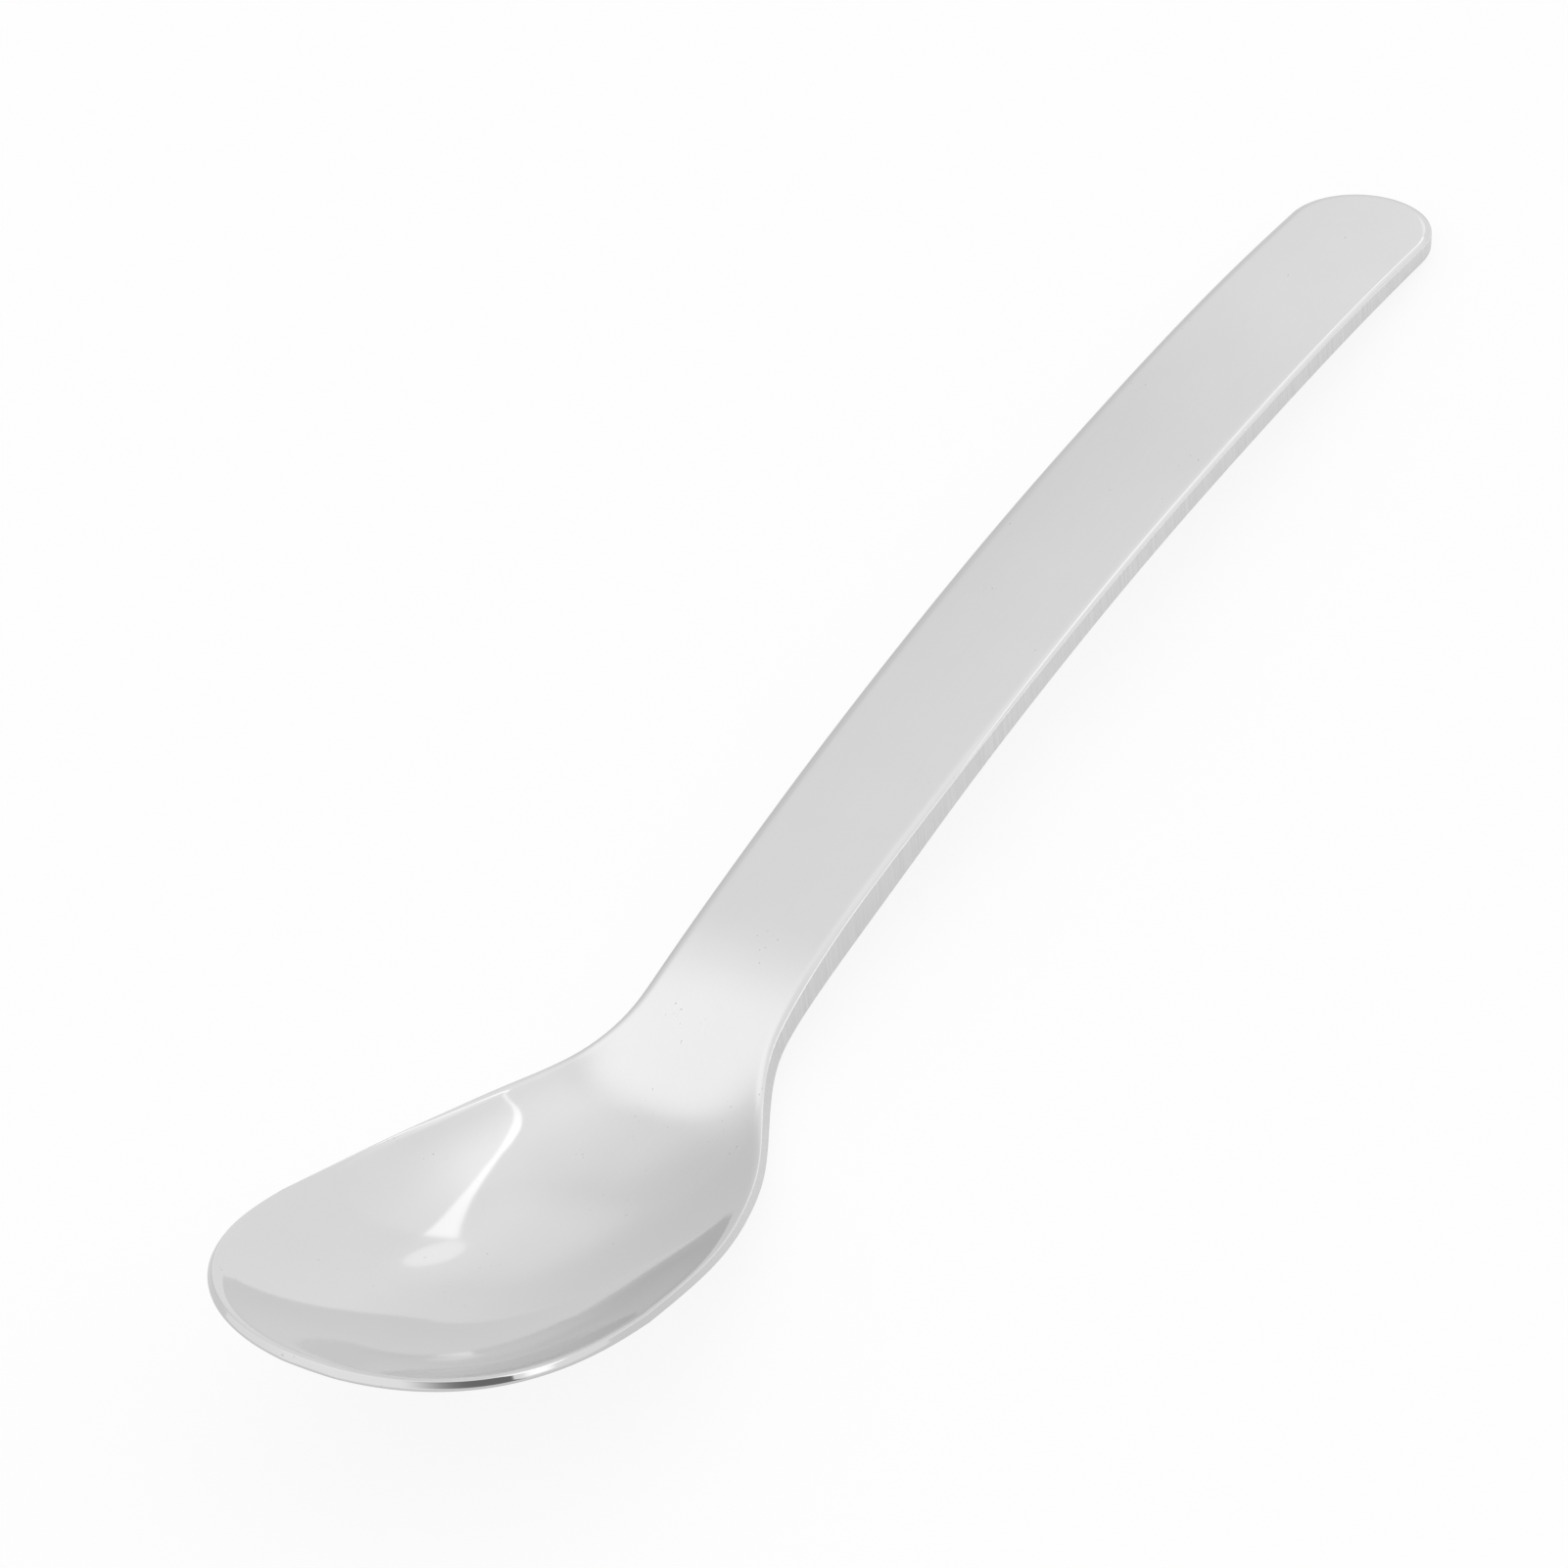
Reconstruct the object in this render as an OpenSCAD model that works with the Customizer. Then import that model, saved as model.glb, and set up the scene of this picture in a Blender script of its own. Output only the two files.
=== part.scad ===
// Soup spoon, pressed and polished from one blank of stainless steel.
// X runs from the bowl's tip to the handle's end, Y across and Z up.
// The spoon lies on Z = 0, on the belly of its bowl and on the end of its handle.

/* [Outline] */
// Length of the top face from the bowl's tip to the handle's end; the leaning cut edge adds a little
spoon_l = 204.3; // [180:0.1:230]
// Width of the bowl's top face at its widest place; the leaning cut edge adds a little on each side
bowl_w = 37.85; // [32:0.05:44]
// From the bowl's tip to its widest place
bowl_front_l = 23.8; // [20:0.1:28]
// From the bowl's tip to where the shoulders have run into the handle
bowl_l = 68; // [60:1:76]
// How full the bowl's tip is: 2 is an ellipse, more is squarer
tip_fullness = 2.76; // [2:0.01:4]
// Width of the handle at the neck
neck_w = 14.2; // [11:0.05:17]
// Width of the handle where its end begins to round
end_w = 14.9; // [11:0.05:18]
// Length of the handle's round end
end_round_l = 7.5; // [5:0.1:10]

/* [Side view] */
// Height of the bowl's tip over the top of the handle's end
tip_h = 17.55; // [14:0.05:22]
// Height of the edge where it dips lowest, over the top of the handle's end
dip_h = 0.7; // [0:0.05:4]
// From the bowl's tip to that dip
dip_l = 58; // [52:1:64]
// Height of the handle's arch over the top of its end
arch_h = 6.85; // [5:0.05:14]

/* [Bowl] */
// Depth of the bowl below its edge
bowl_depth = 5.45; // [4:0.05:9]
// How full the bowl is across at its tip: 2 is a parabola, more has a flatter floor and steeper walls
bowl_fullness = 2.7; // [2:0.1:3.2]

/* [Steel] */
// Thickness at the bowl's edge
rim_t = 1; // [0.8:0.05:2]
// Thickness at the neck, where the spoon is thickest
neck_t = 3.65; // [2.2:0.05:4.4]
// From the bowl's tip to that thickest place
thick_l = 80; // [72:1:95]
// Thickness at the handle's end
end_t = 1.8; // [1.4:0.05:2.4]
// Width of the strip along the top edges that polishing has rolled over
roll_w = 0.9; // [0.3:0.05:1.2]
// How far that strip rolls down towards the edge
roll_h = 0.2; // [0.1:0.05:0.4]
// Rounding of the edges underneath
edge_r = 0.3; // [0.1:0.05:0.4]
// How far the top of the handle swells above its two edges
crown_h = 0.12; // [0:0.02:0.4]

/* [Hidden] */

// Half outline behind the widest place: along to the neck, and from the neck's width up to the bowl's
shoulder_x_shares = [0, 0.17, 0.34, 0.49, 0.62, 0.73, 0.83, 0.93, 1];
shoulder_w_shares = [1, 0.942, 0.853, 0.712, 0.538, 0.332, 0.141, 0.024, 0];
// Half outline of the handle: along to its round end, and from the neck's width to the end's
handle_x_shares = [0.2, 0.45, 0.7, 1];
handle_w_shares = [-0.36, 0.4, 0.8, 1];
// The edge in the side view falls from the tip to the dip
fall_x_shares = [0, 0.07, 0.17, 0.31, 0.465, 0.62, 0.775, 0.9, 1];
fall_h_shares = [1, 0.931, 0.833, 0.668, 0.46, 0.261, 0.101, 0.016, 0];
// Behind the dip it rises to the top of the arch, along the rest of the length
rise_x_shares = [0.054, 0.122, 0.218, 0.354];
rise_h_shares = [0.308, 0.632, 0.844, 0.987];
// From the arch it drops to the end, along the same rest of the length
drop_x_shares = [0.524, 0.694, 0.864, 1];
drop_h_shares = [1, 0.82, 0.466, 0];
// Depth along the middle of the bowl
depth_x_shares = [0, 0.05, 0.12, 0.23, 0.36, 0.5, 0.64, 0.79, 0.93, 1.06];
depth_shares = [0, 0.262, 0.609, 0.925, 0.994, 0.866, 0.657, 0.347, 0.05, 0];
// Fullness across, along the middle of the bowl
fullness_x_shares = [0, 0.35, 0.7, 1.06];
fullness_shares = [1, 0.89, 0.94, 0.98];
// Thickness gained from the tip to the thickest place
gain_x_shares = [0, 0.2, 0.37, 0.56, 0.75, 0.88, 1];
gain_t_shares = [0.05, 0.01, 0, 0.08, 0.39, 0.77, 1];
// Thickness left from there to the handle's end
loss_x_shares = [0.16, 0.32, 0.56, 0.8, 1];
loss_t_shares = [0.7, 0.46, 0.36, 0.3, 0];

// Number of cross lines round the tip, along the spoon and round the end
tip_steps = 16;
mid_steps = 62;
end_steps = 9;
// Number of steps from the middle to the edge, and round each edge
across_steps = 7;
edge_steps = 3;
// Where the cross lines of the tip meet the middle, as a share of the bowl's front
tip_hub_share = 0.5;
// How far back the cross lines still lean, as a share of the bowl's front
lean_share = 2.5;
// Where the cross lines of the round end meet the middle, as a share of its length
end_hub_share = 0.5;
// Step along the spoon over which a slope is measured, as a share of the length
slope_share = 0.001;
// Steps in which a smooth curve settles
settle_steps = 30;

end_x = spoon_l - end_round_l;
// The rolled strip is an arc, level where it starts
roll_r = (roll_w * roll_w + roll_h * roll_h) / (2 * roll_h);
roll_turn = asin(roll_w / roll_r);

// A smooth curve holds its points and how much it bends at each
function mix(a, b, share) = a + (b - a) * share;
function curve(p) = [p, bends(p, [for (q = p) 0], settle_steps)];
function bends(p, m, n) = n <= 0 ? m : bends(p, [for (k = [0:len(p) - 1]) bend(p, m, k)], n - 1);
function bend(p, m, k) =
    k == 0 || k == len(p) - 1 ? 0 :
    let (a = p[k].x - p[k - 1].x, b = p[k + 1].x - p[k].x)
    let (turn = (p[k + 1].y - p[k].y) / b - (p[k].y - p[k - 1].y) / a)
    (6 * turn - a * m[k - 1] - b * m[k + 1]) / (2 * (a + b));
// Its height at x, which stays level beyond both ends
function at(c, x) =
    let (p = c[0], m = c[1], n = len(p) - 1)
    x <= p[0].x ? p[0].y : x >= p[n].x ? p[n].y :
    let (k = len([for (q = p) if (q.x < x) q]) - 1, h = p[k + 1].x - p[k].x)
    let (a = (p[k + 1].x - x) / h, b = 1 - a)
    a * p[k].y + b * p[k + 1].y + ((a ^ 3 - a) * m[k] + (b ^ 3 - b) * m[k + 1]) * h * h / 6;
// Points of a curve between two corners, by shares of the way along and up
function points_between(x0, x1, y0, y1, x_shares, y_shares) =
    [for (k = [0:len(x_shares) - 1]) [mix(x0, x1, x_shares[k]), mix(y0, y1, y_shares[k])]];

// Half width behind the widest place
side_line = curve(concat(
    points_between(bowl_front_l, bowl_l, neck_w / 2, bowl_w / 2, shoulder_x_shares, shoulder_w_shares),
    points_between(bowl_l, end_x, neck_w / 2, end_w / 2, handle_x_shares, handle_w_shares)));
// Height of the edge over the top of the handle's end
edge_line = curve(concat(
    points_between(0, dip_l, dip_h, tip_h, fall_x_shares, fall_h_shares),
    points_between(dip_l, spoon_l, dip_h, arch_h, rise_x_shares, rise_h_shares),
    points_between(dip_l, spoon_l, 0, arch_h, drop_x_shares, drop_h_shares)));
// Depth of the bowl along its middle
floor_line = curve(points_between(0, bowl_l, 0, bowl_depth, depth_x_shares, depth_shares));
// How full the bowl is across
fullness_line = curve(points_between(0, bowl_l, 0, bowl_fullness, fullness_x_shares, fullness_shares));
// Thickness of the steel
steel_line = curve(concat(
    points_between(0, thick_l, rim_t, neck_t, gain_x_shares, gain_t_shares),
    points_between(thick_l, spoon_l, end_t, neck_t, loss_x_shares, loss_t_shares)));

// Half width of the whole outline at x
function half_w(x) =
    x < bowl_front_l ? bowl_w / 2 * sqrt(max(0, 1 - (1 - x / bowl_front_l) ^ tip_fullness)) :
    x > end_x ? end_w / 2 * sqrt(max(0, 1 - ((x - end_x) / end_round_l) ^ 2)) :
    at(side_line, x);
// Height of the top face: a dish between the bowl's edges, and a slight swell on the handle
function top_z(x, y) =
    let (w = half_w(x), across = w > 0 ? min(1, abs(y) / w) : 1)
    let (swell = crown_h * min(1, max(0, x / bowl_l - 1)) * (w * w - y * y) * 4 / (end_w * end_w))
    at(edge_line, x) - at(floor_line, x) * (1 - across ^ at(fullness_line, x)) + swell;
// Direction into the steel, square to the dished face, so that the cut edge leans out with the bowl's wall
function inward(x, y) =
    let (step = spoon_l * slope_share, c = min(spoon_l - step, max(step, x)), a = c - step, b = c + step)
    let (w = half_w(c), across = min(1, y / w), full = at(fullness_line, c), deep = at(floor_line, c))
    let (hollow = across ^ full, w_slope = (half_w(b) - half_w(a)) / (b - a))
    let (edge_slope = (at(edge_line, b) - at(edge_line, a)) / (b - a))
    let (deep_slope = (at(floor_line, b) - at(floor_line, a)) / (b - a))
    let (slope_x = edge_slope - deep_slope * (1 - hollow) - deep * full * hollow * w_slope / w)
    let (slope_y = deep * full * across ^ (full - 1) / w)
    [slope_x, slope_y, -1] / sqrt(1 + slope_x * slope_x + slope_y * slope_y);

// Places of the cross lines along the outline, close together round the tip and the end
outline_x = concat(
    [for (k = [0:tip_steps - 1]) bowl_front_l * (1 - cos(90 * k / tip_steps) ^ (2 / tip_fullness))],
    [for (k = [0:mid_steps]) mix(bowl_front_l, end_x, k / mid_steps)],
    [for (k = [1:end_steps]) end_x + end_round_l * sin(90 * k / end_steps)]);
last = len(outline_x) - 1;
// Where each cross line meets the middle: it leans to the tip and to the round end
tip_hub_x = bowl_front_l * tip_hub_share;
end_hub_x = end_x + end_round_l * end_hub_share;
function lean(x) = tip_hub_x * max(0, 1 - x / (bowl_front_l * lean_share)) ^ 2;
function middle_x(k) =
    k < tip_steps ? mix(tip_hub_x, bowl_front_l + lean(bowl_front_l), k / tip_steps) :
    k > last - end_steps ? mix(end_x, end_hub_x, 1 - (last - k) / end_steps) :
    outline_x[k] + lean(outline_x[k]);

// A point of a cross line, by its share of the way to the edge, and the steel it leaves beside and over it
function cross_point(k, share, inset, drop, under) =
    let (x0 = middle_x(k), x1 = outline_x[k], y1 = half_w(x1))
    let (s = share * (1 - inset / sqrt((x1 - x0) ^ 2 + y1 ^ 2)))
    let (x = mix(x0, x1, s), y = y1 * s)
    [x, y, top_z(x, y)] + inward(x, y) * (under ? at(steel_line, x) - drop : drop);
// Half of a cross line, from the middle to half way down the edge, on the top or on the underside
function half_line(k, under) =
    let (strip = under ? edge_r : roll_w, r = under ? edge_r : roll_r, turn = under ? 90 : roll_turn)
    concat(
        [for (j = [0:across_steps - 1]) cross_point(k, j / across_steps, strip, 0, under)],
        [for (j = [0:edge_steps]) let (a = turn * j / edge_steps)
            cross_point(k, 1, strip - r * sin(a), r * (1 - cos(a)), under)]);
function cross_line(k) =
    let (back = half_line(k, true))
    concat(half_line(k, false), [for (j = [1:len(back)]) back[len(back) - j]]);
lines = [for (k = [0:last]) cross_line(k)];
m = len(lines[0]) - 1;

// At rest the spoon is turned in the side view until its belly and its end both touch the table
belly = [for (l = lines) if (l[m].x < bowl_l) l[m]];
rest_turn = min([for (q = lines[last]) max([for (p = belly) atan2(q.z - p.z, q.x - p.x)])]);
function turned(p) = [
    p.x * cos(rest_turn) + p.z * sin(rest_turn), p.y, p.z * cos(rest_turn) - p.x * sin(rest_turn)];
laid = [for (l = lines) [for (p = l) turned(p)]];
laid_x = [for (l = laid) for (p = l) p.x];
origin_x = (min(laid_x) + max(laid_x)) / 2;
origin_z = min([for (l = laid) for (p = l) p.z]);
function placed(p) = [p.x - origin_x, p.y, p.z - origin_z];
function mirrored(p) = [p.x, -p.y, p.z];

// Points of both halves, which share the two end lines and the two lines along the middle
points = concat(
    [for (p = laid[0]) placed(p)],
    [for (k = [1:last - 1]) each concat(
        [for (p = laid[k]) placed(p)],
        [for (j = [1:m - 1]) mirrored(placed(laid[k][j]))])],
    [for (p = laid[last]) placed(p)]);
function index(k, left, j) =
    k == 0 ? j : m + 1 + (k - 1) * 2 * m + (left && k < last && j > 0 && j < m ? m + j : j);
// Every four neighbours make two triangles, cut so that no cut lies along the middle
function pair(a, b, c, d) = [[a, b, c], [a, c, d]];
function four(k, left, j) =
    let (a = index(k, left, j), b = index(k + 1, left, j))
    let (c = index(k + 1, left, j + 1), d = index(k, left, j + 1))
    let (outward = (k < last / 2) == (j < m / 2))
    left ? (outward ? pair(a, b, c, d) : pair(b, c, d, a)) : (outward ? pair(a, d, c, b) : pair(d, c, b, a));
faces = [for (k = [0:last - 1]) for (left = [false, true]) for (j = [0:m - 1]) each four(k, left, j)];

module spoon() {
    color("silver") polyhedron(points, faces);
}

spoon();
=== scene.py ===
# %% [markdown]
# # A polished steel soup spoon
#
# This notebook dresses one object: a soup spoon made from a single piece of stainless steel. A real one
# starts as a flat blank, cut from strip. The bowl's part is rolled thinner, the blank is pressed between
# two dies that give the bowl its hollow and the handle its arch, and every edge is then rounded and
# polished. The lesson follows the same steps with Blender's own tools: cut a blank, press it, give it its
# thickness, round its edges, polish it.
#
# The frame holds the spoon's solid, as it is built. It is loaded first, and its box is kept, so
# that the dressed spoon can be set in exactly the same place.

import math

import bpy
import numpy as np
from mathutils import Matrix, Vector


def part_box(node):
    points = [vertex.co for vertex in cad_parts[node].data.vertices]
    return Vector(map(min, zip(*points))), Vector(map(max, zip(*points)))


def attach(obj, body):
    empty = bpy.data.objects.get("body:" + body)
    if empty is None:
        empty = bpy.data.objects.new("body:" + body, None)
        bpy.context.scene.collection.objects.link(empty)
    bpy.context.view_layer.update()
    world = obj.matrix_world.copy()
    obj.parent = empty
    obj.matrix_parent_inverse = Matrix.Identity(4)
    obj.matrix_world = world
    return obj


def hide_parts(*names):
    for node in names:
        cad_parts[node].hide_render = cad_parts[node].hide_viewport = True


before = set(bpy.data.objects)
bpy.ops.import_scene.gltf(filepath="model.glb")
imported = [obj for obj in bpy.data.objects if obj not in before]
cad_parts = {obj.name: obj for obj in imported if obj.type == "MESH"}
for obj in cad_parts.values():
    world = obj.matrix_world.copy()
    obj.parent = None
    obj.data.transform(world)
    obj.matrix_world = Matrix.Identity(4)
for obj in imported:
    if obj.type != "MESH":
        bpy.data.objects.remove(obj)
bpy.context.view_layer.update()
solid_low, solid_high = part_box("spoon")

# %% [markdown]
# ## The camera
#
# The camera comes first, because each later choice is judged through it. The photograph was taken with a
# long lens from in front of the bowl's left side, about 40 degrees above the table, and a little rolled.
# An aim point on the table, two angles, a distance and a roll say that in the words of a photographer, and
# the script turns them into a place and a rotation.

# %% Camera
mm = 0.001
camera_aim = Vector((-0.2 * mm, 13.12 * mm, 0))
camera_azimuth = math.radians(55.59)
camera_elevation = math.radians(40.985)
camera_distance = 848.3 * mm
camera_roll = math.radians(-6.928)

view = Vector((
    math.sin(camera_azimuth) * math.cos(camera_elevation),
    math.cos(camera_azimuth) * math.cos(camera_elevation),
    -math.sin(camera_elevation),
))
level = view.to_track_quat("-Z", "Y").to_matrix().to_4x4()
bpy.ops.object.camera_add()
camera = bpy.context.object
camera.name = "photo_camera"
camera.matrix_world = (
    Matrix.Translation(camera_aim - view * camera_distance) @ level @ Matrix.Rotation(camera_roll, 4, "Z")
)
camera.data.sensor_width = 36
camera.data.lens = 203.76
camera.data.clip_start = 0.05
bpy.context.scene.camera = camera
print("camera at", [round(value, 4) for value in camera.matrix_world.translation])

# %% [markdown]
# ## Sizes
#
# The driving sizes are those of the solid, in millimetres. Lengths run from the bowl's tip along the
# spoon, and heights are counted from the top of the handle's end. Each outline is a short list of shares:
# how far along, and how far between two sizes. A smooth curve through them does the rest.

# %% Sizes of the spoon
spoon_l = 204.3 * mm
bowl_w = 37.85 * mm
bowl_front_l = 23.8 * mm
bowl_l = 68 * mm
tip_fullness = 2.76
neck_w = 14.2 * mm
end_w = 14.9 * mm
end_round_l = 7.5 * mm
tip_h = 17.55 * mm
dip_h = 0.7 * mm
dip_l = 58 * mm
arch_h = 6.85 * mm
bowl_depth = 5.45 * mm
bowl_fullness = 2.7
rim_t = 1 * mm
neck_t = 3.65 * mm
thick_l = 80 * mm
end_t = 1.8 * mm
roll_w = 0.9 * mm
roll_h = 0.2 * mm
edge_r = 0.3 * mm
crown_h = 0.12 * mm
end_x = spoon_l - end_round_l

# %% [markdown]
# ## Smooth curves
#
# A spoon shows every kink as a broken reflection, so its lines need a smooth bend as well as a smooth
# slope. A cubic spline has both. The same kind of curve is used in the solid, so the two agree. `between`
# turns shares into points, and `smooth` returns a function that gives the curve's height anywhere along it.

# %% Curves through a few points
def between(x0, x1, y0, y1, shares):
    return [(x0 + (x1 - x0) * along, y0 + (y1 - y0) * up) for along, up in shares]


def smooth(points):
    x, y = np.array(points).T
    gap = np.diff(x)
    slope = np.diff(y) / gap
    system = np.eye(len(x))
    turn = np.zeros(len(x))
    for k in range(1, len(x) - 1):
        system[k, k - 1:k + 2] = gap[k - 1], 2 * (gap[k - 1] + gap[k]), gap[k]
        turn[k] = 6 * (slope[k] - slope[k - 1])
    bend = np.linalg.solve(system, turn)

    def height(place):
        place = np.clip(place, x[0], x[-1])
        k = np.clip(np.searchsorted(x, place) - 1, 0, len(x) - 2)
        a = (x[k + 1] - place) / gap[k]
        b = 1 - a
        curved = (a ** 3 - a) * bend[k] + (b ** 3 - b) * bend[k + 1]
        return a * y[k] + b * y[k + 1] + curved * gap[k] ** 2 / 6

    return height


# %% [markdown]
# ## The spoon's lines
#
# Four lines are enough to describe the pressing. Seen from above there is the half width. Seen from the
# side there is the height of the edge, which falls from the tip, dips at the neck and arches over the
# handle, and the depth of the hollow along the bowl's middle. The fourth is the thickness of the steel:
# thin at the rim, thickest at the neck, and thinner again to the end. A fifth, the fullness, says how the
# hollow is shaped across: its floor is a little flatter, and its walls a little steeper, than a parabola's.

# %% Lines
side_line = smooth(
    between(bowl_front_l, bowl_l, neck_w / 2, bowl_w / 2, [
        (0, 1), (0.17, 0.942), (0.34, 0.853), (0.49, 0.712), (0.62, 0.538), (0.73, 0.332), (0.83, 0.141),
        (0.93, 0.024), (1, 0),
    ])
    + between(bowl_l, end_x, neck_w / 2, end_w / 2, [(0.2, -0.36), (0.45, 0.4), (0.7, 0.8), (1, 1)])
)
edge_line = smooth(
    between(0, dip_l, dip_h, tip_h, [
        (0, 1), (0.07, 0.931), (0.17, 0.833), (0.31, 0.668), (0.465, 0.46), (0.62, 0.261), (0.775, 0.101),
        (0.9, 0.016), (1, 0),
    ])
    + between(dip_l, spoon_l, dip_h, arch_h, [
        (0.054, 0.308), (0.122, 0.632), (0.218, 0.844), (0.354, 0.987),
    ])
    + between(dip_l, spoon_l, 0, arch_h, [(0.524, 1), (0.694, 0.82), (0.864, 0.466), (1, 0)])
)
floor_line = smooth(between(0, bowl_l, 0, bowl_depth, [
    (0, 0), (0.05, 0.262), (0.12, 0.609), (0.23, 0.925), (0.36, 0.994), (0.5, 0.866), (0.64, 0.657),
    (0.79, 0.347), (0.93, 0.05), (1.06, 0),
]))
fullness_line = smooth(between(0, bowl_l, 0, bowl_fullness, [
    (0, 1), (0.35, 0.89), (0.7, 0.94), (1.06, 0.98),
]))
steel_line = smooth(
    between(0, thick_l, rim_t, neck_t, [
        (0, 0.05), (0.2, 0.01), (0.37, 0), (0.56, 0.08), (0.75, 0.39), (0.88, 0.77), (1, 1),
    ])
    + between(thick_l, spoon_l, end_t, neck_t, [(0.16, 0.7), (0.32, 0.46), (0.56, 0.36), (0.8, 0.3), (1, 0)])
)


# %% [markdown]
# The tip and the handle's end are closed arcs, which a spline through widths can't draw, because its slope
# would have to be upright there. The tip is a superellipse, a little squarer than an ellipse, and the
# handle's end is a half ellipse.

# %% Half width of the outline
def half_width(x):
    front = np.clip(1 - x / bowl_front_l, 0, 1)
    back = np.clip((x - end_x) / end_round_l, 0, 1)
    tip = bowl_w / 2 * np.sqrt(1 - front ** tip_fullness)
    end = end_w / 2 * np.sqrt(1 - back ** 2)
    return np.where(x < bowl_front_l, tip, np.where(x > end_x, end, side_line(x)))


# %% [markdown]
# ## Cut the blank
#
# The blank starts as a grid, because a grid gives rows to lay across the spoon and columns to lay along
# it. Each row is laid on the outline by its share of the way round. Round the tip and the handle's end the
# rows lean inwards and fan out, so the columns stay parallel to the edge all the way round. The outermost
# columns lie close together in a narrow strip, which polishing will roll over in the next step.

# %% Lay the grid on the outline
tip_rows = 44
body_rows = 190
end_rows = 26
row_count = tip_rows + body_rows + end_rows + 1
face_columns = 20
roll_columns = 6
half_columns = face_columns + roll_columns
tip_hub_share = 0.5
lean_share = 2.5
end_hub_share = 0.5


def lean(x):
    return bowl_front_l * tip_hub_share * np.clip(1 - x / (bowl_front_l * lean_share), 0, 1) ** 2


def outline_place(row):
    tip_turn = np.clip(row / tip_rows, 0, 1) * math.pi / 2
    end_turn = np.clip((row - tip_rows - body_rows) / end_rows, 0, 1) * math.pi / 2
    body_share = np.clip((row - tip_rows) / body_rows, 0, 1)
    tip = bowl_front_l * (1 - np.cos(tip_turn) ** (2 / tip_fullness))
    body = bowl_front_l + (end_x - bowl_front_l) * body_share
    return np.where(row < tip_rows, tip, body) + end_round_l * np.sin(end_turn)


def middle_place(row):
    outline = outline_place(row)
    hub = bowl_front_l * tip_hub_share
    tip = hub + (bowl_front_l + lean(bowl_front_l) - hub) * row / tip_rows
    end_share = (row - tip_rows - body_rows) / end_rows
    end = end_x + end_round_l * end_hub_share * end_share
    return np.where(row < tip_rows, tip, np.where(end_share > 0, end, outline + lean(outline)))


def cross_place(row, side, share, inset):
    x0, x1 = middle_place(row), outline_place(row)
    y1 = half_width(x1)
    share = share * (1 - inset / np.hypot(x1 - x0, y1))
    return x0 + (x1 - x0) * share, y1 * share * side


def read_points(mesh):
    points = np.empty(len(mesh.vertices) * 3)
    mesh.vertices.foreach_get("co", points)
    return points.reshape(-1, 3)


def write_points(mesh, points):
    mesh.vertices.foreach_set("co", points.ravel())
    mesh.update()


def note(mesh, name, values):
    mesh.attributes.new(name, "FLOAT", "POINT").data.foreach_set("value", values)


def noted(mesh, name):
    values = np.empty(len(mesh.vertices))
    mesh.attributes[name].data.foreach_get("value", values)
    return values


bpy.ops.object.select_all(action="DESELECT")
bpy.ops.mesh.primitive_grid_add(x_subdivisions=row_count - 1, y_subdivisions=2 * half_columns, size=2)
spoon = bpy.context.object
spoon.name = "polished_spoon"
grid = read_points(spoon.data)
note(spoon.data, "row", np.round((grid[:, 0] + 1) / 2 * (row_count - 1)))
note(spoon.data, "column", np.round(grid[:, 1] * half_columns))

roll_r = (roll_w ** 2 + roll_h ** 2) / (2 * roll_h)
roll_turn = math.asin(roll_w / roll_r)


def layout(mesh):
    row, column = noted(mesh, "row"), noted(mesh, "column")
    face_share = np.clip(np.abs(column) / face_columns, 0, 1)
    roll_share = np.clip((np.abs(column) - face_columns) / roll_columns, 0, 1)
    return row, np.sign(column), face_share, roll_share


row, side, face_share, roll_share = layout(spoon.data)
x, y = cross_place(row, side, face_share, roll_w - roll_r * np.sin(roll_turn * roll_share))
write_points(spoon.data, np.stack([x, y, np.zeros_like(x)], axis=-1))

bpy.ops.object.mode_set(mode="EDIT")
bpy.ops.mesh.select_all(action="SELECT")
bpy.ops.mesh.remove_doubles(threshold=0.001 * mm)
bpy.ops.object.mode_set(mode="OBJECT")
print("blank:", len(spoon.data.vertices), "points,", len(spoon.data.polygons), "faces")


# %% [markdown]
# ## Press it
#
# The die moves every point straight up or down, as a press does. In the bowl it lowers the sheet under the
# edge line by the depth, most in the middle and not at all at the edge. The handle gets a very slight
# swell across, which keeps a polished strip from looking like cut glass. The outer strip then rolls down
# along an arc that starts level, so that no line shows where it begins.

# %% The die and the rolled strip
def top_height(x, y):
    w = half_width(x)
    across = np.clip(np.abs(y) / np.maximum(w, 1e-9), 0, 1)
    swell = crown_h * np.clip(x / bowl_l - 1, 0, 1) * (w ** 2 - y ** 2) * 4 / end_w ** 2
    return edge_line(x) - floor_line(x) * (1 - across ** fullness_line(x)) + swell


def into_steel(x, y):
    step = spoon_l / 1000
    x = np.clip(x, step, spoon_l - step)
    w, full, deep = half_width(x), fullness_line(x), floor_line(x)
    across = np.clip(np.abs(y) / w, 0, 1)
    hollow = across ** full

    def slope(line):
        return (line(x + step) - line(x - step)) / (2 * step)

    along = slope(edge_line) - slope(floor_line) * (1 - hollow) - deep * full * hollow * slope(half_width) / w
    sideways = deep * full * across ** (full - 1) / w * np.sign(y)
    way = np.stack([along, sideways, -np.ones_like(along)], axis=-1)
    return way / np.linalg.norm(way, axis=-1, keepdims=True)


def steel_point(x, y, depth):
    return np.stack([x, y, top_height(x, y)], axis=-1) + into_steel(x, y) * depth[:, None]


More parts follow.
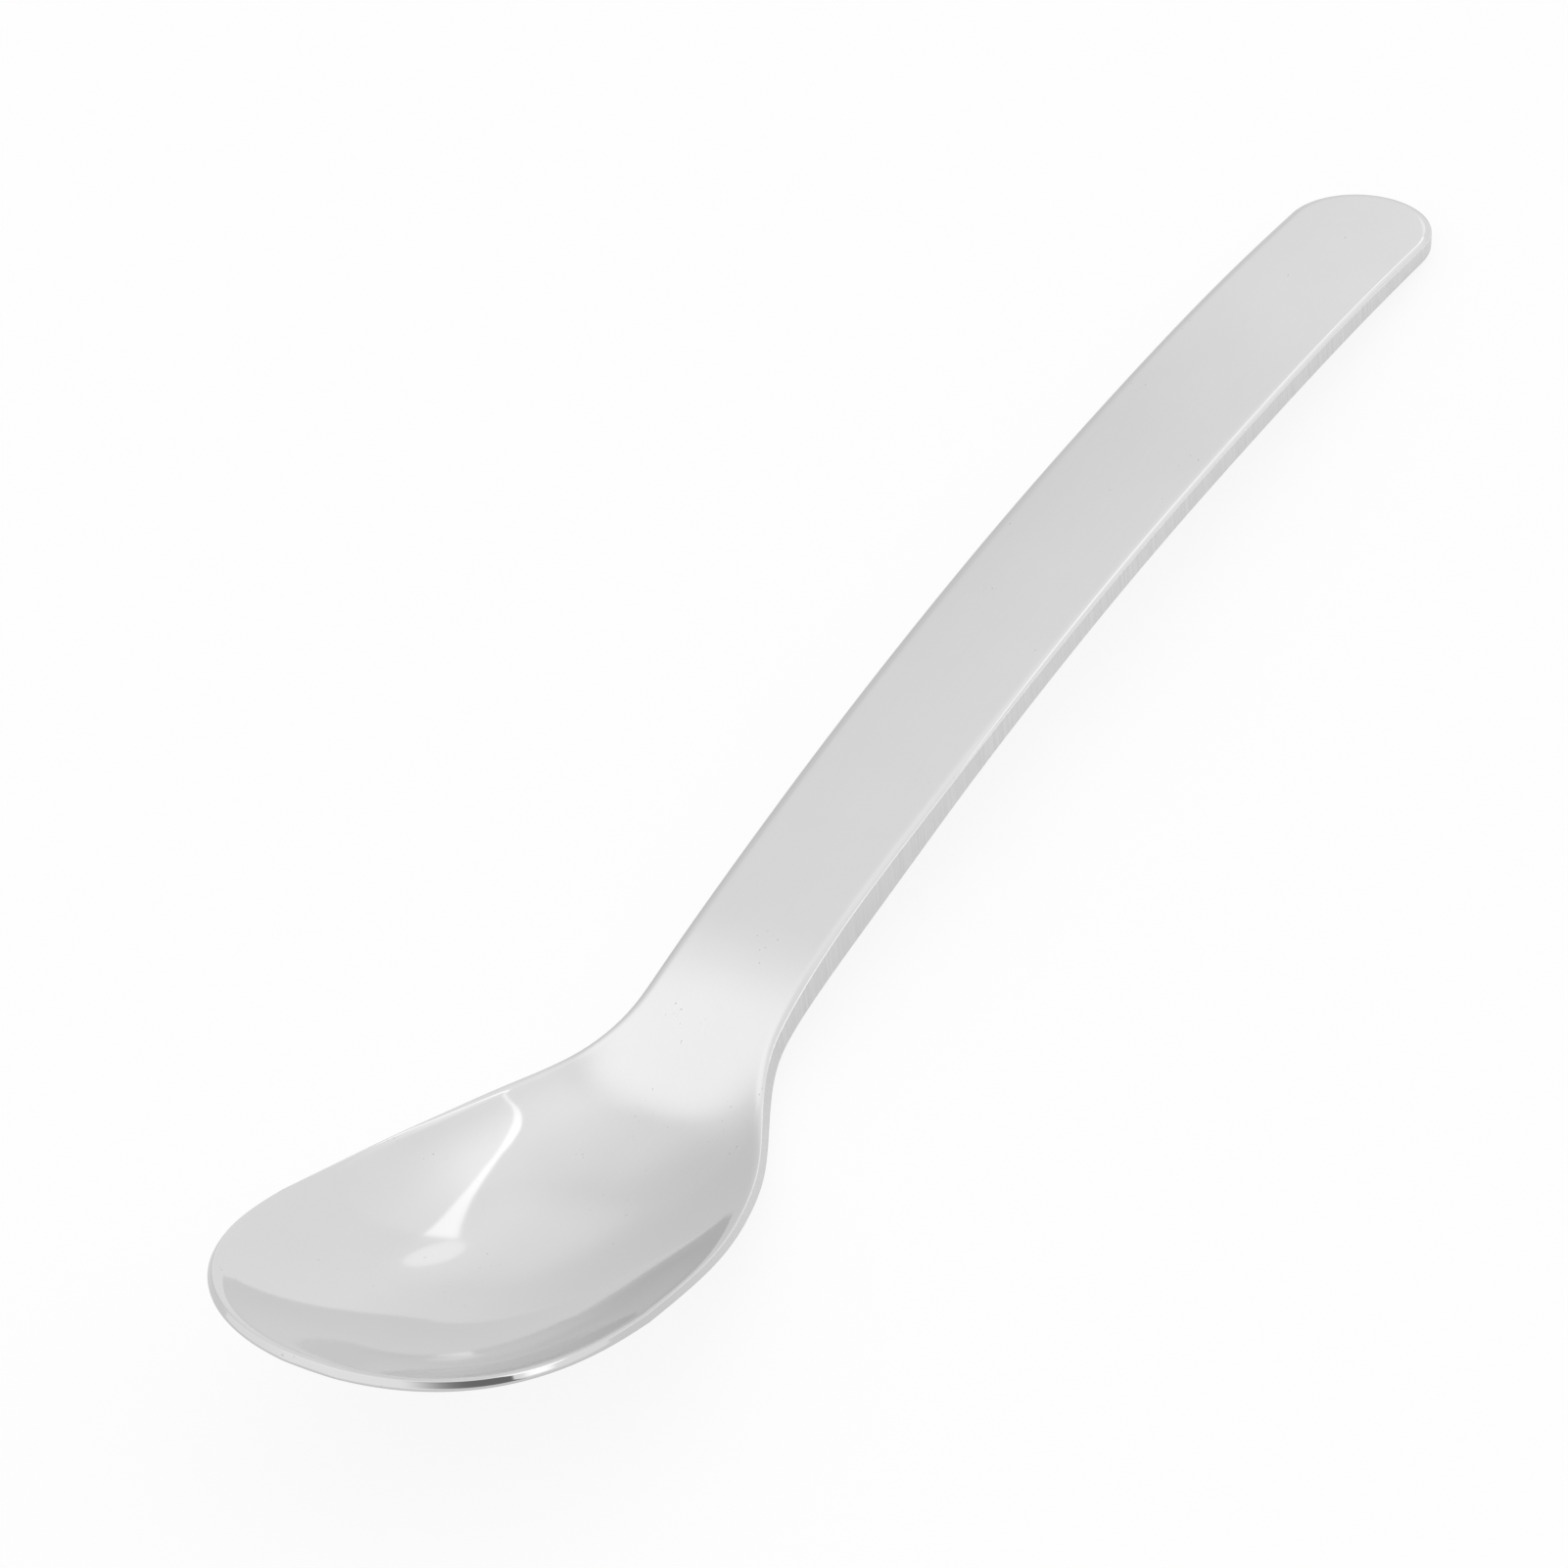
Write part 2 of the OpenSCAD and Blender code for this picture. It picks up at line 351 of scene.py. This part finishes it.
row, side, face_share, roll_share = layout(spoon.data)
x, y = cross_place(row, side, face_share, roll_w - roll_r * np.sin(roll_turn * roll_share))
roll_drop = roll_r * (1 - np.cos(roll_turn * roll_share))
write_points(spoon.data, steel_point(x, y, roll_drop))
middle_x = np.linspace(0, bowl_l, 200)
print("deepest hollow under the edge:", round(float(floor_line(middle_x).max()) / mm, 2), "mm")

# %% [markdown]
# ## Give it its thickness
#
# The sheet is extruded three times, and each time the new faces move on into the steel, square to the
# pressed face. The cut edge therefore leans out with the bowl's wall, as the edge of a pressed sheet does.
# The first and the last step are short: they keep the flat of the cut edge true between its two corners.
# The outermost points are then marked as cut edge, fully along the handle and less and less round the bowl,
# where that edge is polished as bright as the face. The finish reads this mark later: the marked edge is
# rougher and grooved, and its colour is painted lighter, a painted highlight on the handle's side band.

# %% Extrude to the local thickness
first_step = 0.15 * mm
last_step = 1.25 * edge_r
under_strip = 1.5 * edge_r
for step in range(3):
    bpy.ops.object.mode_set(mode="EDIT")
    if step == 0:
        bpy.ops.mesh.select_all(action="SELECT")
    bpy.ops.mesh.extrude_region_move(TRANSFORM_OT_translate={"value": (0, 0, 0)})
    bpy.ops.object.mode_set(mode="OBJECT")
    moved = np.zeros(len(spoon.data.vertices), dtype=bool)
    spoon.data.vertices.foreach_get("select", moved)
    row, side, face_share, roll_share = [values[moved] for values in layout(spoon.data)]
    inner = roll_w - (roll_w - under_strip) * roll_share * roll_columns / (roll_columns - 1)
    x, y = cross_place(row, side, face_share, np.where(roll_share > 1 - 0.5 / roll_columns, 0, inner))
    steel_t = steel_line(x)
    depth = [np.full_like(steel_t, roll_h + first_step), steel_t - last_step, steel_t][step]
    body = read_points(spoon.data)
    body[moved] = steel_point(x, y, depth)
    write_points(spoon.data, body)
roll_share = layout(spoon.data)[3]
handle_share = np.clip(1.5 * read_points(spoon.data)[:, 0] / bowl_l - 0.5, 0, 1)
# The same mark says where the edge's colour is painted lighter, as painted light on the side band.
note(spoon.data, "cut_edge_and_painted_light", np.where(roll_share > 1 - 0.5 / roll_columns, handle_share, 0))
for name in ("row", "column"):
    spoon.data.attributes.remove(spoon.data.attributes[name])
bpy.ops.object.mode_set(mode="EDIT")
bpy.ops.mesh.select_all(action="SELECT")
bpy.ops.mesh.normals_make_consistent(inside=False)
bpy.ops.object.mode_set(mode="OBJECT")
rim_neck_end = [round(float(steel_line(x)) / mm, 2) for x in (0, thick_l, spoon_l)]
print("thickness at the rim, neck and end:", rim_neck_end, "mm")

# %% [markdown]
# ## Round the edges
#
# The two sharp edges run all the way round, one on the top and one underneath, and each is found by its
# angle. The lower one is square and gets a full rounding in five steps. The upper one is already eased by
# the rolled strip, so it keeps a crisp line and only loses its burr.

# %% Bevel the two long edges
edge_steps = 5
burr_r = 0.07 * mm
burr_steps = 3
for least_angle, size, steps in ((78, edge_r, edge_steps), (40, burr_r, burr_steps)):
    bpy.ops.object.mode_set(mode="EDIT")
    bpy.ops.mesh.select_all(action="DESELECT")
    bpy.ops.mesh.select_mode(type="EDGE")
    bpy.ops.mesh.edges_select_sharp(sharpness=math.radians(least_angle))
    bpy.ops.mesh.bevel(offset=size, segments=steps, profile=0.5, affect="EDGES", clamp_overlap=False)
    bpy.ops.mesh.select_mode(type="VERT")
    bpy.ops.object.mode_set(mode="OBJECT")
    print("rounded:", len(spoon.data.polygons), "faces")

# %% [markdown]
# ## Lay it on the table
#
# A spoon at rest touches the table twice: with the belly of its bowl and with the end of its handle. The
# turn that brings both down is found in the side view, from the lowest points of each. The spoon is then
# moved so that its middle and its lowest point match the solid's box.

# %% Turn and seat
points = read_points(spoon.data)
middle = points[np.abs(points[:, 1]) < edge_r]
belly = middle[middle[:, 0] < bowl_l]
handle_end = middle[middle[:, 0] > end_x]
turns = np.arctan2(handle_end[:, None, 2] - belly[:, 2], handle_end[:, None, 0] - belly[:, 0])
rest_turn = turns.max(axis=1).min()
turned = points.copy()
turned[:, 0] = points[:, 0] * math.cos(rest_turn) + points[:, 2] * math.sin(rest_turn)
turned[:, 2] = points[:, 2] * math.cos(rest_turn) - points[:, 0] * math.sin(rest_turn)
turned[:, 0] += (solid_low[0] + solid_high[0]) / 2 - (turned[:, 0].min() + turned[:, 0].max()) / 2
turned[:, 2] += solid_low[2] - turned[:, 2].min()
write_points(spoon.data, turned)
bpy.ops.object.shade_smooth()
print("rest turn:", round(math.degrees(rest_turn), 3), "degrees")

# %% [markdown]
# ## Polished steel
#
# Stainless steel is a metal, so the whole colour comes from its reflection: about two thirds of the light,
# and neutral. Its polish is not perfect. Buffing leaves a faint cloudiness that changes over a few
# millimetres, hairlines along the spoon, and a few tiny specks, and each is a pattern of its own here, small
# in strength. The cut edge of the handle is only ground: it keeps fine lines that run straight across it,
# and it is rougher. Its colour is also painted lighter than the face's, a painted highlight that stands in
# for the brighter light on the handle's side band. The mark from the extrusion says where. All patterns are
# in Object coordinates, so they stay on the steel when the spoon is moved.

# %% Small helpers for nodes
def calculate(operation, first, second, third=0):
    node = nodes.new("ShaderNodeMath")
    node.operation = operation
    for socket, value in zip(node.inputs, (first, second, third)):
        if isinstance(value, (int, float)):
            socket.default_value = value
        else:
            links.new(value, socket)
    return node.outputs["Value"]


def ramp(value, empty, full):
    node = nodes.new("ShaderNodeMapRange")
    node.interpolation_type = "SMOOTHSTEP"
    node.inputs["From Min"].default_value = empty
    node.inputs["From Max"].default_value = full
    links.new(value, node.inputs["Value"])
    return node.outputs["Result"]


def streaks(length, width, height, detail):
    stretch = nodes.new("ShaderNodeMapping")
    stretch.inputs["Scale"].default_value = (1 / length, 1 / width, 1 / height)
    links.new(place, stretch.inputs["Vector"])
    noise = nodes.new("ShaderNodeTexNoise")
    noise.inputs["Scale"].default_value = 1
    noise.inputs["Detail"].default_value = detail
    links.new(stretch.outputs["Vector"], noise.inputs["Vector"])
    return noise.outputs["Fac"]


# %% Patterns of the steel
steel = bpy.data.materials.new("polished_steel")
steel.use_nodes = True
nodes = steel.node_tree.nodes
links = steel.node_tree.links
surface = nodes["Principled BSDF"]
surface.inputs["Metallic"].default_value = 1
place = nodes.new("ShaderNodeTexCoord").outputs["Object"]
cloud = streaks(9 * mm, 6 * mm, 6 * mm, 3)
hairline = streaks(14 * mm, 0.22 * mm, 0.22 * mm, 2)
cross_line = streaks(0.18 * mm, 0.18 * mm, 8 * mm, 2)
fine = streaks(0.35 * mm, 0.35 * mm, 0.35 * mm, 0)
rare = streaks(5 * mm, 5 * mm, 5 * mm, 0)
speck = calculate("MULTIPLY", ramp(fine, 0.79, 0.84), ramp(rare, 0.63, 0.7))

# %% [markdown]
# Each tone and each roughness is a base value, to which the patterns add or take away a little. The ground
# edge takes over where the mark is, with its colour painted lighter as a painted highlight, and a shallow bump
# gives its lines some depth.

# %% Tone, roughness and grooves
polished_tone = 0.642
polished_roughness = 0.035
# The edge's tone is set lighter than the face's: a painted highlight on the handle's side band.
painted_lighter_edge_level = 0.74
ground_roughness = 0.16
groove_depth = 0.01 * mm


def add_up(start, *parts):
    for pattern, strength in parts:
        start = calculate("MULTIPLY_ADD", pattern, strength, start)
    return start


face_tone = add_up(polished_tone, (cloud, 0.022), (hairline, 0.014), (speck, -0.12))
face_rough = add_up(polished_roughness, (cloud, 0.03), (hairline, 0.03), (speck, 0.2))
# The edge's colour: ground lines across it, on a tone painted lighter as painted light.
edge_lines_on_painted_light = add_up(painted_lighter_edge_level, (ramp(cross_line, 0.3, 0.7), 0.07))
edge_rough = add_up(ground_roughness, (cross_line, 0.14))

# This mark blends in the rougher, grooved edge and its colour, which is painted lighter as painted light.
cut_edge_and_painted_light = nodes.new("ShaderNodeAttribute")
cut_edge_and_painted_light.attribute_name = "cut_edge_and_painted_light"
for name, face_value, edge_value in (
    ("Base Color", face_tone, edge_lines_on_painted_light),
    ("Roughness", face_rough, edge_rough),
):
    share = calculate("SUBTRACT", edge_value, face_value)
    links.new(calculate("MULTIPLY_ADD", share, cut_edge_and_painted_light.outputs["Fac"], face_value), surface.inputs[name])
groove = nodes.new("ShaderNodeBump")
groove.inputs["Strength"].default_value = 0.5
groove.inputs["Distance"].default_value = groove_depth
links.new(calculate("MULTIPLY", cross_line, cut_edge_and_painted_light.outputs["Fac"]), groove.inputs["Height"])
links.new(groove.outputs["Normal"], surface.inputs["Normal"])
print("steel nodes:", len(nodes))
spoon.data.materials.clear()
spoon.data.materials.append(steel)

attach(spoon, "root")
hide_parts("spoon")

# %% [markdown]
# ## Table and background
#
# The photograph has a plain white ground. The table is a large sheet of pale paper that keeps the spoon's
# shadow. The camera sees most of it as plain white, so it stays white however the light falls, and the shadow
# only tints it. The steel sees half of it as plain, and a little greyer, as in the photograph.

# %% Table
table_size = 6
paper_white = 0.89
camera_white = 0.88
mirror_white = 0.5
mirror_level = 0.8
bpy.ops.object.select_all(action="DESELECT")
bpy.ops.mesh.primitive_plane_add(size=table_size)
table = bpy.context.object
table.name = "table"
table_white = bpy.data.materials.new("table_white")
table_white.use_nodes = True
nodes = table_white.node_tree.nodes
links = table_white.node_tree.links
table_surface = nodes["Principled BSDF"]
table_surface.inputs["Roughness"].default_value = 0.8
table_surface.inputs["Specular IOR Level"].default_value = 0
place = nodes.new("ShaderNodeTexCoord").outputs["Object"]
paper_tone = add_up(paper_white, (streaks(30 * mm, 30 * mm, 30 * mm, 3), 0.02))
links.new(paper_tone, table_surface.inputs["Base Color"])
rays = nodes.new("ShaderNodeLightPath")
camera_ray, mirror_ray = rays.outputs["Is Camera Ray"], rays.outputs["Is Glossy Ray"]
plain_white = add_up(0, (camera_ray, camera_white), (mirror_ray, mirror_white))
white = nodes.new("ShaderNodeEmission")
white.inputs["Strength"].default_value = 1
links.new(add_up(mirror_level, (camera_ray, 1 - mirror_level)), white.inputs["Color"])
mix = nodes.new("ShaderNodeMixShader")
links.new(plain_white, mix.inputs["Fac"])
links.new(table_surface.outputs["BSDF"], mix.inputs[1])
links.new(white.outputs["Emission"], mix.inputs[2])
links.new(mix.outputs["Shader"], nodes["Material Output"].inputs["Surface"])
table.data.materials.append(table_white)
print("table:", table_size, "m wide")

# %% [markdown]
# ## The studio
#
# Polished steel shows nothing but what is around it, so the studio is described as the spoon sees it: a
# white tent with soft brighter and darker zones, each with a direction, a size and a strength. Directions
# are an azimuth, counted from +X towards +Y, and an elevation above the table. The first zone, a glow high
# over the far side, makes the light patch on the neck. Something dark stands beside the camera, on its right,
# and ends in a sharp edge with light beyond it: only the bowl's front edge shows both.

# %% The tent
world = bpy.data.worlds.new("white_tent")
bpy.context.scene.world = world
world.use_nodes = True
nodes = world.node_tree.nodes
links = world.node_tree.links
background = nodes["Background"]
background.inputs["Strength"].default_value = 1
place = nodes.new("ShaderNodeTexCoord").outputs["Generated"]
tent_level = 1.02


def zone(azimuth, elevation, full_angle, faded_angle):
    azimuth, elevation = math.radians(azimuth), math.radians(elevation)
    node = nodes.new("ShaderNodeVectorMath")
    node.operation = "DOT_PRODUCT"
    node.inputs[1].default_value = (
        math.cos(azimuth) * math.cos(elevation), math.sin(azimuth) * math.cos(elevation), math.sin(elevation),
    )
    links.new(place, node.inputs[0])
    return ramp(node.outputs["Value"], math.cos(math.radians(faded_angle)), math.cos(math.radians(full_angle)))


zones = [
    (zone(azimuth, elevation, full_angle, faded_angle), strength)
    for azimuth, elevation, full_angle, faded_angle, strength in (
        (86, 68, 0, 26, 0.24),
        (25, 68, 0, 28, 0.05),
        (12, 48, 0, 24, 0.09),
        (36, 42, 0, 20, -0.06),
        (24, 21, 0, 13, 0.06),
        (60, 8, 0, 42, -0.22),
        (170, 45, 10, 60, 0.08),
        (-68, 33, 17, 20, 0.5),
    )
]
dark_side = calculate("MULTIPLY", zone(-100, 33, 10, 48), zone(179, 0, 89, 90.5))
glow = add_up(tent_level, *zones, (dark_side, -0.82))

# %% [markdown]
# ## The lamp
#
# The bright hook in the bowl is the image of one tall lamp beyond the handle's end: a strip that widens
# downwards and bends over at its top. Left and right are meant here as its image in the bowl shows them. On
# an upright plane one metre beyond the bowl, each height has a place for the strip's left edge and one for
# its right edge, and two curves through a few points give them. The wall to the left of the strip is lit
# too, most beside the strip's middle. A stand cuts the lamp off below, and a rounded patch of its light lies
# under the stand's edge.

# %% Strip lamp
stand_height = 0.4
edge_softness = 0.008
wall_strength = 0.2
strip_strength = 0.3
patch_strength = 0.15


def edge_curve(value, points):
    node = nodes.new("ShaderNodeFloatCurve")
    curve = node.mapping.curves[0]
    curve.points[0].location, curve.points[1].location = points[0], points[-1]
    for x, y in points[1:-1]:
        curve.points.new(x, y)
    node.mapping.update()
    links.new(value, node.inputs["Value"])
    return node.outputs["Value"]


def left_of(edge):
    return ramp(calculate("SUBTRACT", lamp_aside, edge), edge_softness, -edge_softness)


direction = nodes.new("ShaderNodeSeparateXYZ")
links.new(place, direction.inputs["Vector"])
ahead, aside, up = [direction.outputs[axis] for axis in "XYZ"]
lamp_up = calculate("SUBTRACT", calculate("DIVIDE", up, ahead), stand_height)
lamp_aside = calculate("ADD", calculate("DIVIDE", aside, ahead), 0.5)
left_edge = edge_curve(lamp_up, [
    (0, 0.73), (0.05, 0.72), (0.13, 0.695), (0.25, 0.664), (0.35, 0.636), (0.45, 0.612), (0.56, 0.575),
    (0.69, 0.525), (0.82, 0.457), (0.91, 0.36), (0.95, 0.2), (1, 0),
])
right_edge = edge_curve(lamp_up, [
    (0, 0.845), (0.06, 0.798), (0.14, 0.749), (0.26, 0.7), (0.36, 0.669), (0.46, 0.641), (0.57, 0.624),
    (0.65, 0.606), (0.73, 0.583), (0.82, 0.535), (0.91, 0.453), (0.965, 0.33), (1, 0.05),
])
above_stand = calculate("MULTIPLY", ramp(lamp_up, 0, edge_softness), ramp(lamp_up, 1, 0.98))
above_stand = calculate("MULTIPLY", above_stand, ramp(ahead, 0.02, 0.1))
below_stand = ramp(up, math.sin(math.radians(21.4)), math.sin(math.radians(21)))
lit_wall = calculate("MULTIPLY", left_of(right_edge), ramp(lamp_aside, 0.2, 0.72))
lit_wall = calculate("MULTIPLY", lit_wall, ramp(lamp_up, -0.2, 0.45))
strip = calculate("SUBTRACT", left_of(right_edge), left_of(left_edge))
glow = add_up(
    glow,
    (calculate("MULTIPLY", lit_wall, above_stand), wall_strength),
    (calculate("MULTIPLY", strip, above_stand), strip_strength),
    (calculate("MULTIPLY", zone(18.5, 17.6, 2.5, 3.3), below_stand), patch_strength),
)

# %% [markdown]
# The camera itself sees the tent as plain white, like the table.

# %% White for the camera
camera_ray = nodes.new("ShaderNodeLightPath").outputs["Is Camera Ray"]
tent = nodes.new("ShaderNodeMix")
tent.data_type = "RGBA"
links.new(camera_ray, tent.inputs["Factor"])
links.new(glow, tent.inputs[6])
tent.inputs[7].default_value = (1, 1, 1, 1)
links.new(tent.outputs[2], background.inputs["Color"])
print("world nodes:", len(nodes))

# %% View settings
bpy.context.scene.view_settings.view_transform = "Standard"
